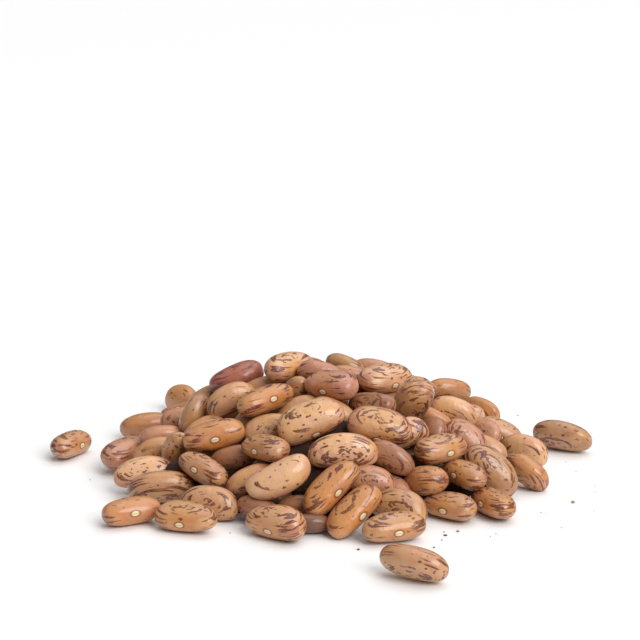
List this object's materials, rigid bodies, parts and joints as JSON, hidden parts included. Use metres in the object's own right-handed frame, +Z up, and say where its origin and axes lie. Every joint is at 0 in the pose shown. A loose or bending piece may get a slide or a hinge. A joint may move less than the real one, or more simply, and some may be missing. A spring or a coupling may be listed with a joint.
{
  "type": "heap of dried beans",
  "caption": "Low round heap of dried speckled beans on a bare flat surface, with stray beans lying beside it.",
  "frame": {"origin": "on the surface that the beans lie on, in the middle of the heap's flat underside", "axes": "+Z up, -Y towards the side that the picture shows, +X to the right of that view"},
  "size_m": [0.1334, 0.1357, 0.027],
  "materials": {
    "bean_skin": "dull shine, tan with dark purple specks and arcs"
  },
  "bodies": {
    "root": {"bean_heap": "bean_skin", "stray_bean_left": "bean_skin", "stray_bean_right": "bean_skin", "stray_bean_front": "bean_skin"}
  },
  "joints": []
}
